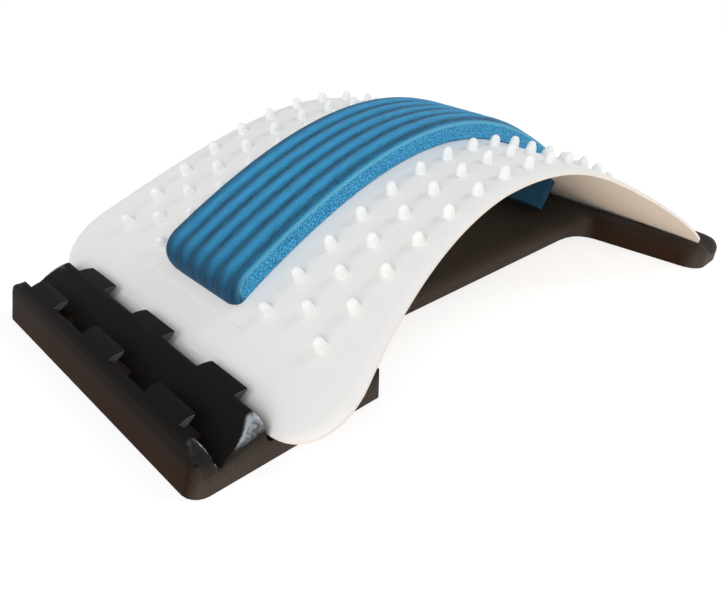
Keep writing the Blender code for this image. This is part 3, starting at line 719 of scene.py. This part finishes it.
def make_plate():
    """The plate is modelled flat, given its thickness and rounded rim, and then bent."""
    inner = plate_columns()
    rows = plate_rows()

    def across(column, half_width):
        """Place across of a column, counted from the first straight one, where the plate is so wide."""
        if 0 <= column < len(inner):
            return inner[column]
        share = OUTER_SHARES[-1 - column if column < 0 else column - len(inner)]
        if share <= 1:
            return math.copysign(MIDDLE_HALF + share * (half_width - BORDER - MIDDLE_HALF), column)
        return math.copysign(half_width - BORDER * (2 - share), column)

    def place(i, j):
        s = rows[j]
        half_width = plate_half_width(s)
        x = across(i - len(OUTER_SHARES), half_width)
        if within(x, RECESS_X, RECESS_SLOPE / 2) and within(s, RECESS_S, RECESS_SLOPE / 2):
            return Vector((x, s, -RECESS_DEPTH))
        to_edge = min(half_width - abs(x), s - PLATE_S[0], PLATE_S[1] - s)
        return Vector((x, s, -BORDER_DIP * (1 - ramp(to_edge, 0.0, BORDER)) ** 2))

    bm = bmesh.new()
    grid_of(bm, len(inner) + 2 * len(OUTER_SHARES), len(rows), place)
    holes = [face for face in bm.faces if in_slot(face.calc_center_median())]
    bmesh.ops.delete(bm, geom=holes, context="FACES")
    bmesh.ops.recalc_face_normals(bm, faces=bm.faces)
    underside = bmesh.ops.extrude_face_region(bm, geom=bm.faces[:])["geom"]
    for vert in (item for item in underside if isinstance(item, bmesh.types.BMVert)):
        vert.co.z = -PLATE_THICKNESS
    rim, slot_edges = [], []
    for edge in (edge for edge in bm.edges if is_sharp(edge, PLATE_SHARP)):
        end = edge.verts[0].co
        if in_slot((end + edge.verts[1].co) / 2, -SLOT_EDGE_R * 2):
            slot_edges.append(edge)
        elif abs(end.x) > MIDDLE_HALF or not within(end.y, PLATE_S, PLATE_EDGE_R):
            rim.append(edge)
    round_edges(bm, rim, PLATE_EDGE_R, 4)
    round_edges(bm, [edge for edge in slot_edges if edge.is_valid], SLOT_EDGE_R, 2)
    bend_to_arch(bm)
    return bm


def make_nubs(height, radius):
    """One turned nub, copied to each place on the flat plate and bent with it."""
    outline = [(0.0, NUB_OUTLINE[0][1]), *NUB_OUTLINE]
    pattern = mesh_of("nub pattern", spun([(x * radius, z * height) for x, z in outline], NUB_SIDES))
    bm = bmesh.new()
    first = -NUB_PITCH * (NUB_ROWS - 1) / 2
    for column, x in enumerate(NUB_COLUMNS):
        staggered = column % 2
        for row in range(NUB_ROWS - staggered):
            s = first + (row + staggered / 2) * NUB_PITCH
            for side in (-1, 1):
                known = len(bm.verts)
                bm.from_mesh(pattern)
                bm.verts.ensure_lookup_table()
                bmesh.ops.translate(bm, verts=bm.verts[known:], vec=(side * x, s, 0.0))
    bpy.data.meshes.remove(pattern)
    bend_to_arch(bm)
    return bm


# Foam pad

Point = namedtuple("Point", "x height groove shade cut")
Station = namedtuple("Station", "inner out degrees tuck bend")


def groove_at(x, pitch):
    """Depth and painted shade of the grooves across the strip, 0 to 1: the shade is lightest near each
    ridge's right side, where the light falls.
    """
    turns = (FOAM_WIDTH / 2 - FIRST_GROOVE - x) / pitch
    last = math.floor((FOAM_WIDTH - FIRST_GROOVE - LAST_RIDGE) / pitch)
    # Right of the first groove the painted shade lightens towards the lit edge
    if turns < 0:
        rise = -turns * pitch / FIRST_GROOVE
        return 1 - rise, 1 - rise ** 1.8
    depth = 0.5 + 0.5 * math.cos(math.tau * turns)
    half_turn = float(np.interp(1 - turns % 1, (0.0, LIGHT_SHARE, 1.0), (0.0, 0.5, 1.0)))
    shade = 0.5 + 0.5 * math.cos(math.tau * half_turn)
    return (depth if turns < last + 0.5 else 0.0), (shade if turns < last + 1 else 1.0)


def foam_section(pitch, groove_depth):
    """Points round the strip from its lower left, with the groove's depth and painted shade there."""
    half = FOAM_WIDTH / 2
    low = np.linspace(-half + FOAM_FOOT, half - FOAM_FOOT, 15)
    points = [Point(float(x), 0.0, 0.0, 0.3, True) for x in low]
    points += [Point(half, height, 0.0, 0.0, True) for height in SIDE_HEIGHTS]
    for x in np.linspace(half, -half, 91):
        edge = half - abs(x)
        depth, shade = groove_at(x, pitch)
        drop = EDGE_DROP * (1 - ramp(half - x, 0.0, FIRST_GROOVE))
        crown = round_inset(edge, FOAM_EDGE_R) + CROWN * math.exp(-edge / CROWN_REACH)
        points.append(Point(float(x), FOAM_THICKNESS - drop - crown, groove_depth * depth, shade, False))
    return points + [Point(-half, height, 0.0, 0.0, True) for height in reversed(SIDE_HEIGHTS)]


def foam_stations():
    """Stations along the strip, from the end at the hooks over the arch to the other one."""
    groups = []
    for side, turn_s, tail, tuck in zip((-1, 1), FOAM_TURNS, FOAM_TAILS, FOAM_TUCKS):
        y, z, slope = arch_at(turn_s)
        along = Vector((side * math.cos(slope), side * math.sin(slope)))
        normal = Vector((-math.sin(slope), math.cos(slope)))
        centre = Vector((y, z)) + normal * (FOAM_GAP - FOAM_TURN_R)
        turn = []
        for degrees in TURN_DEGREES:
            angle = math.radians(degrees)
            out = normal * math.cos(angle) + along * math.sin(angle)
            bend = NOSE_SHADE + (1 - NOSE_SHADE) * min(degrees / FULL_BEND, 1.0)
            turn.append(Station(centre + out * FOAM_TURN_R, out, float(degrees), tuck, bend))
        start = turn[0]
        hanging = [start._replace(inner=start.inner - normal * tail * share) for share in TAIL_SHARES]
        groups.append(hanging + turn)
    middle = []
    for s in np.linspace(*FOAM_TURNS, FOAM_STEPS + 1)[1:-1]:
        y, z, slope = arch_at(float(s))
        out = Vector((-math.sin(slope), math.cos(slope)))
        # Painted shade darkens slowly towards the ends
        bend = NOSE_SHADE * abs(s / FOAM_TURNS[0]) ** 3
        middle.append(Station(Vector((y, z)) + out * FOAM_GAP, out, 0.0, 0.0, bend))
    return groups[0] + middle + list(reversed(groups[1]))


def to_nose(height, degrees):
    """How far a point of the turned strip is from its outermost face."""
    return FOAM_THICKNESS + FOAM_TURN_R - math.sin(math.radians(degrees)) * (FOAM_TURN_R + height)


def foam_tuck(most, height, degrees):
    """How far the strip's sides draw in: a rounded corner on the nose, the slot's width below the plate."""
    if degrees == 90.0:
        return most
    level = math.cos(math.radians(degrees)) * (FOAM_TURN_R + height) - FOAM_TURN_R + FOAM_GAP
    corner = round_inset(to_nose(height, degrees), NOSE_CORNER_R) / NOSE_CORNER_R
    corner *= 0.35 + 0.65 * (1 - ramp(level, 0.0, FOAM_TUCK_RISE)) ** 2
    return most * max(corner, ramp(-level, SLOT_GRIP * 0.15, SLOT_GRIP * 1.15))


def skin_wrap(height, degrees):
    """How far the moulded skin has wrapped round the nose's corner on to the cut side, 0 to 1."""
    if degrees == 90.0:
        return 1.0
    return 1 - ramp(to_nose(height, degrees), NOSE_CORNER_R * 0.8, NOSE_CORNER_R * 1.2)


def running_total(points):
    """Length of the way along the points, up to each of them."""
    return [0.0, *accumulate((b - a).length for a, b in zip(points, points[1:]))]


def make_foam(pitch, groove_depth):
    """A section wrapped round a path; painted shade, bend, wrap and the painted lip highlight are kept for
    the finish.
    """
    section = foam_section(pitch, groove_depth)
    stations = foam_stations()
    bm = bmesh.new()
    groove, bend, wrap, lip_highlight = (bm.verts.layers.float.new(name) for name in ("groove", "bend", "wrap", "lip_highlight"))
    uv_layer = bm.loops.layers.uv.new("strip")
    ring = [Vector((point.x, point.height)) for point in section]
    across = running_total(ring + ring[:1])
    along = running_total([station.inner + station.out * FOAM_THICKNESS for station in stations])

    def place(i, j):
        point, station = section[i % len(section)], stations[j]
        height = point.height - point.groove * (1 - ramp(station.bend, NOSE_SHADE, FILLED_BEND))
        tuck = foam_tuck(station.tuck, height, station.degrees)
        x = point.x * (1 - tuck / (FOAM_WIDTH / 2)) + FOAM_TUCK_DRIFT * tuck / FOAM_TUCKS[0]
        spot = station.inner + station.out * height
        return Vector((FOAM_CENTRE_X + x, spot.x, spot.y))

    pairs = grid_of(bm, len(section) + 1, len(stations), place)
    for vert, (i, j) in pairs.items():
        point, station = section[i % len(section)], stations[j]
        # The groove layer holds the painted shade, not the depth; the bend layer darkens that shade towards
        # the nose
        vert[groove] = point.shade
        vert[bend] = station.bend
        vert[wrap] = skin_wrap(point.height, station.degrees)
        if not point.cut:
            vert[lip_highlight] = 1 - ramp(FOAM_WIDTH / 2 - point.x, 0.0, LIP_WIDTH)
    for face in bm.faces:
        low = min(pairs[vert][0] for vert in face.verts)
        face.material_index = 1 if section[low].cut else 0
        for loop in face.loops:
            i, j = pairs[loop.vert]
            loop[uv_layer].uv = (across[i], along[j])
    bmesh.ops.remove_doubles(bm, verts=bm.verts, dist=WELD)
    ends = bmesh.ops.holes_fill(bm, edges=[e for e in bm.edges if e.is_boundary], sides=0)["faces"]
    for face in ends:
        face.material_index = 1
    return bm


# Moulded base

def block_profile():
    """Height of the level block along its length: a rim and ridges, each with a valley and a ramp behind."""
    points = []
    for row in range(LEVELS):
        crest = CREST_Y + ROW_PITCH * row
        height = RIDGE_Z if row else RIM_Z
        points += [(crest + y, z) for y, z in ((RIDGE_FRONT,) if row else RIM_FRONT)]
        points += [(crest + y, height - drop) for y, drop in CREST_DROP]
        points += [(crest + y, z) for y, z in CREST_BACK]
        valley = points[-1]
        ramp_end = (crest + ROW_PITCH, DECK_Z)
        if row < LEVELS - 1:
            ramp_end = (crest + ROW_PITCH + RIDGE_FRONT[0], RIDGE_FRONT[1])
        for t in RAMP_SHARES:
            y = valley[0] + (ramp_end[0] - valley[0]) * t
            points.append((y, valley[1] + (ramp_end[1] - valley[1]) * t ** RAMP_HOLLOWING))
    deck = [(BLOCK_INNER_Y - back, DECK_Z - drop) for back, drop in DECK_FALL]
    return [*points, (CREST_Y + ROW_PITCH * LEVELS, DECK_Z), *deck]


PROFILE = tuple(zip(*block_profile()))


def block_parts(x, y):
    """Level block at a point: heights of its profile and shoulder, and the share of the way out on it."""
    distance = BLOCK_HALF - abs(x)
    corner = round_inset(distance, BLOCK_CORNER_R)
    from_end = (y - NEAR_Y - corner) / (1 - corner / (2 * BLOCK_CORNER_R))
    straight_y = NEAR_Y + from_end if from_end < 2 * BLOCK_CORNER_R else y
    inwards = ramp(straight_y, CREST_Y, CREST_Y + ROW_PITCH)
    top = RIM_Z + (RIDGE_Z - RIM_Z) * inwards
    radius = RIM_SHOULDER_R + (RIDGE_SHOULDER_R - RIM_SHOULDER_R) * inwards
    share = max(0.0, 1 - distance / radius)
    shoulder = top - radius * (1 - math.sqrt(max(0.0, 1 - share ** 2)))
    return float(np.interp(straight_y, *PROFILE)), shoulder, share


def block_height(x, y):
    """Height of the level block's top, with its rounded shoulders."""
    return min(block_parts(x, y)[:2])


def block_highlights(x, y):
    """Where highlights are painted on the shoulders, with a glossier coat: a patch on the outer side of their
    crest line, and that line.
    """
    profile, shoulder, share = block_parts(x, y)
    above = profile - shoulder
    slant = ramp(share, *HIGHLIGHT_SHARE)
    fade = HIGHLIGHT_FADE[0] if above > 0 else HIGHLIGHT_FADE[1]
    behind_rim = max(RIM_HIGHLIGHT, ramp(y, HIGHLIGHT_Y, CREST_Y + ROW_PITCH))
    line = slant * ramp(y, CREST_Y - HIGHLIGHT_RUN, CREST_Y) * math.exp(-(above / HIGHLIGHT_LINE) ** 2)
    return slant * behind_rim * math.exp(-abs(above) / fade), line


def on_block(vert):
    x, y, z = vert.co
    if abs(x) > BLOCK_HALF - TOP_MARGIN or not PROFILE[0][0] < y < PROFILE[0][-1]:
        return False
    return abs(z - block_height(x, y)) < ON_SURFACE


def block_tops(bm):
    """Faces of the level block's top that look upwards."""
    rising = [face for face in bm.faces if face.normal.z > LEAST_RISE]
    return [face for face in rising if all(on_block(vert) for vert in face.verts)]


def refine_block(bm):
    """Divide the level block's top finely and bring the new points on to its true surface."""
    for _ in range(5):
        edges = {edge for face in block_tops(bm) for edge in face.edges if edge.calc_length() > FINE_EDGE}
        if not edges:
            break
        made = bmesh.ops.subdivide_edges(bm, edges=list(edges), cuts=1, use_grid_fill=True)["geom_inner"]
        for vert in {item for item in made if isinstance(item, bmesh.types.BMVert)}:
            if abs(vert.co.z - block_height(vert.co.x, vert.co.y)) < NEAR_SURFACE:
                vert.co.z = block_height(vert.co.x, vert.co.y)
        bmesh.ops.triangulate(bm, faces=[face for face in block_tops(bm) if len(face.verts) > 4])
        bm.normal_update()


def on_hook(vert):
    x, y, z = vert.co
    over_rows = abs(x) < HOOKS_HALF and within(y, HOOKS_Y)
    return over_rows and not on_block(vert) and z > block_height(x, y)


def soften_hooks(bm):
    """A fine rounding on the edges of the hooks."""
    sharp = [edge for edge in bm.edges if is_sharp(edge, HOOK_SHARP)]
    long = [edge for edge in sharp if edge.calc_length() > HOOK_EDGE_R * 1.5]
    round_edges(bm, [edge for edge in long if all(on_hook(vert) for vert in edge.verts)], HOOK_EDGE_R, 2)


def make_base(edge_radius):
    """The base's own solid, its level block divided finely and its edges marked for rounding."""
    bm = bmesh.new()
    bm.from_mesh(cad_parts["base_frame"].data)
    bmesh.ops.remove_doubles(bm, verts=bm.verts, dist=WELD)
    bmesh.ops.dissolve_limit(bm, angle_limit=math.radians(BASE_FLAT), verts=bm.verts, edges=bm.edges)
    for layer in list(bm.loops.layers.uv):
        bm.loops.layers.uv.remove(layer)
    bm.normal_update()
    soften_hooks(bm)
    bm.normal_update()
    weight = bm.edges.layers.float.new("bevel_weight_edge")
    for edge in bm.edges:
        ends = [vert.co for vert in edge.verts]
        away = not all(abs(end.x) < BLOCK_HALF + BLOCK_MARGIN and end.y < BLOCK_INNER_Y for end in ends)
        if away and is_sharp(edge, BASE_SHARP):
            edge[weight] = float(edge.calc_length() > 2 * edge_radius)
    refine_block(bm)
    # Painted highlights on the shoulders: a patch and the line along their crest
    painted_highlight = bm.verts.layers.float.new("painted_highlight")
    crest = bm.verts.layers.float.new("crest")
    for vert in bm.verts:
        if on_block(vert):
            vert[painted_highlight], vert[crest] = block_highlights(vert.co.x, vert.co.y)
    return bm


def make_foot(node):
    """Turned rubber pad with a rounded rim and two shallow grip rings."""
    low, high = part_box(node)
    centre = (low + high) / 2
    radius = (high.x - low.x) / 2
    height = high.z - low.z
    outline = [(radius * share, z) for share, z in FOOT_OUTLINE]
    bm = spun(outline + [(radius, height), (0.0, height)], FOOT_SIDES)
    bmesh.ops.translate(bm, verts=bm.verts, vec=(centre.x, centre.y, low.z))
    return bm


# Operators

class STRETCHER_OT_plate(bpy.types.Operator):
    """Add the arch plate's skin and its massage nubs"""
    bl_idname = "stretcher.plate"
    bl_label = "Arch plate and nubs"

    def execute(self, context):
        settings = context.scene.stretcher_plate
        material = white_plastic("white plate plastic", settings.colour)
        plate = finish_piece("arch_plate_skin", make_plate(), "arch", [material], 50.0)
        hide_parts("arch_plate")
        nubs = make_nubs(settings.nub_height, settings.nub_radius)
        # The nubs take a lighter copy of the plate's white: painted light
        material = white_plastic("white nub plastic", settings.nub_lit_colour)
        finish_piece("massage_nubs", nubs, "arch", [material], 60.0)
        return {"FINISHED"}


class STRETCHER_OT_foam(bpy.types.Operator):
    """Add the ribbed foam pad"""
    bl_idname = "stretcher.foam"
    bl_label = "Foam pad"

    def execute(self, context):
        settings = context.scene.stretcher_foam
        # Groove and nose colours are painted shade
        skin = foam_skin(settings.ridge_colour, settings.groove_shade_colour, settings.nose_shade_colour)
        materials = [skin, foam_cut(settings.cut_colour, settings.nose_shade_colour)]
        bm = make_foam(settings.groove_pitch, settings.groove_depth)
        pad = finish_piece("ribbed_foam_pad", bm, "arch", materials, 55.0)
        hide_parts("foam_pad")
        return {"FINISHED"}


class STRETCHER_OT_base(bpy.types.Operator):
    """Add the moulded base's skin"""
    bl_idname = "stretcher.base"
    bl_label = "Moulded base"

    def execute(self, context):
        settings = context.scene.stretcher_base
        bm = make_base(settings.edge_radius)
        material = black_plastic(settings.colour)
        shell = finish_piece("moulded_base", bm, "base", [material], 35.0)
        bevel = shell.modifiers.new("soft edges", "BEVEL")
        bevel.width = settings.edge_radius
        bevel.segments = 2
        bevel.limit_method = "WEIGHT"
        bevel.use_clamp_overlap = True
        weighted = shell.modifiers.new("even shading", "WEIGHTED_NORMAL")
        weighted.keep_sharp = True
        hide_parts("base_frame")
        return {"FINISHED"}


class STRETCHER_OT_feet(bpy.types.Operator):
    """Add the rubber foot pads"""
    bl_idname = "stretcher.feet"
    bl_label = "Foot pads"

    def execute(self, context):
        material = rubber()
        for node in FEET:
            name = node.replace("pad", "grip")
            foot = finish_piece(name, make_foot(node), "base", [material])
            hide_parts(node)
        return {"FINISHED"}


class STRETCHER_OT_stage(bpy.types.Operator):
    """Add the floor, the lights and the camera"""
    bl_idname = "stretcher.stage"
    bl_label = "Stage"

    def execute(self, context):
        settings = context.scene.stretcher_stage
        make_floor(settings.bounce)
        make_world(settings.sky_strength)
        make_lights((settings.key_power, settings.fill_power, settings.rim_power))
        make_camera()
        context.scene.view_settings.view_transform = "Standard"
        return {"FINISHED"}


# Stage

def make_floor(bounce):
    """White to the camera with a light shadow, warm to the light that it throws back at the object."""
    bm = bmesh.new()
    bmesh.ops.create_grid(bm, x_segments=1, y_segments=1, size=FLOOR_SIZE)
    floor = placed("floor", mesh_of("floor", bm))
    finish = Finish("pale floor", {"Roughness": 1.0, "Specular IOR Level": 0.0, "Emission Strength": 1.0})
    rays = [finish.node("ShaderNodeLightPath", output=kind) for kind in SEEN_RAYS]
    seen = (rays[0] + rays[1] + rays[2]).clamped(0.0, 1.0)
    white = (1.0, 1.0, 1.0)
    finish.set("Base Color", finish.mix(seen, tint(bounce), tint(white, FLOOR_SHADE)))
    far = finish.coordinates().length().clamped(*FLOOR_FADE)
    glow = finish.mix(far, tint(white, FLOOR_GLOW[0]), tint(white, FLOOR_GLOW[1]))
    finish.set("Emission Color", finish.mix(seen, tint(bounce, FLOOR_WARMTH), glow))
    floor.data.materials.append(finish.material)


def make_world(strength):
    """An even studio: white walls low down, a dimmer room above them, all white to what sees it."""
    world = bpy.data.worlds.new("studio")
    world.use_nodes = True
    tree = world.node_tree
    place = tree.nodes.new("ShaderNodeTexCoord")
    split = tree.nodes.new("ShaderNodeSeparateXYZ")
    level = tree.nodes.new("ShaderNodeMapRange")
    for name, value in zip(("From Min", "From Max", "To Min", "To Max"), (*WALL_TOP, 1.0, strength)):
        level.inputs[name].default_value = value
    tree.links.new(place.outputs["Generated"], split.inputs[0])
    tree.links.new(split.outputs["Z"], level.inputs["Value"])
    path = tree.nodes.new("ShaderNodeLightPath")
    total = level.outputs["Result"]
    for kind in SEEN_RAYS:
        brighter = tree.nodes.new("ShaderNodeMath")
        brighter.operation = "MAXIMUM"
        tree.links.new(total, brighter.inputs[0])
        tree.links.new(path.outputs[kind], brighter.inputs[1])
        total = brighter.outputs[0]
    background = tree.nodes["Background"]
    tree.links.new(total, background.inputs["Strength"])
    background.inputs["Color"].default_value = (1.0, 1.0, 1.0, 1.0)
    bpy.context.scene.world = world


def make_lights(powers):
    for power, (name, (place, width, colour)) in zip(powers, LAMPS.items()):
        data = bpy.data.lights.new(name, "AREA")
        data.shape = "DISK"
        data.size = width
        data.energy = power
        data.color = colour
        lamp = placed(name, data)
        lamp.location = place
        lamp.rotation_euler = (Vector(LAMP_TARGET) - Vector(place)).to_track_quat("-Z", "Y").to_euler()


def make_camera():
    """The photograph's viewpoint, 43 degrees round and 27 degrees up."""
    data = bpy.data.cameras.new("camera")
    data.lens = CAMERA_LENS
    data.shift_x, data.shift_y = CAMERA_SHIFT
    data.clip_start = CAMERA_NEAREST
    camera = placed("camera", data)
    forward = Vector(CAMERA_FORWARD)
    up = Vector(CAMERA_RIGHT).cross(forward).normalized()
    right = forward.cross(up).normalized()
    turn = Matrix((right, up, -forward)).transposed().to_4x4()
    turn.translation = Vector(CAMERA_PLACE)
    camera.matrix_world = turn
    bpy.context.scene.camera = camera


# Panel and start

OPERATORS = (STRETCHER_OT_base, STRETCHER_OT_feet, STRETCHER_OT_plate, STRETCHER_OT_foam, STRETCHER_OT_stage)
SETTINGS = {
    "stretcher_plate": StretcherPlateSettings,
    "stretcher_foam": StretcherFoamSettings,
    "stretcher_base": StretcherBaseSettings,
    "stretcher_stage": StretcherStageSettings,
}


class STRETCHER_PT_panel(bpy.types.Panel):
    """Pieces and settings of the back stretcher"""
    bl_idname = "STRETCHER_PT_panel"
    bl_label = "Back stretcher"
    bl_space_type = "VIEW_3D"
    bl_region_type = "UI"
    bl_category = "Stretcher"

    def draw(self, context):
        for name, group in SETTINGS.items():
            column = self.layout.column(align=True)
            for field in group.__annotations__:
                column.prop(getattr(context.scene, name), field)
        for operator in OPERATORS:
            self.layout.operator(operator.bl_idname)


def register():
    for group in SETTINGS.values():
        bpy.utils.register_class(group)
    for operator in OPERATORS:
        bpy.utils.register_class(operator)
    bpy.utils.register_class(STRETCHER_PT_panel)
    for name, group in SETTINGS.items():
        setattr(bpy.types.Scene, name, PointerProperty(type=group))


def unregister():
    for name in SETTINGS:
        delattr(bpy.types.Scene, name)
    bpy.utils.unregister_class(STRETCHER_PT_panel)
    for operator in reversed(OPERATORS):
        bpy.utils.unregister_class(operator)
    for group in reversed(list(SETTINGS.values())):
        bpy.utils.unregister_class(group)


def main():
    register()
    for operator in OPERATORS:
        family, name = operator.bl_idname.split(".")
        getattr(getattr(bpy.ops, family), name)()


if __name__ == "__main__":
    main()
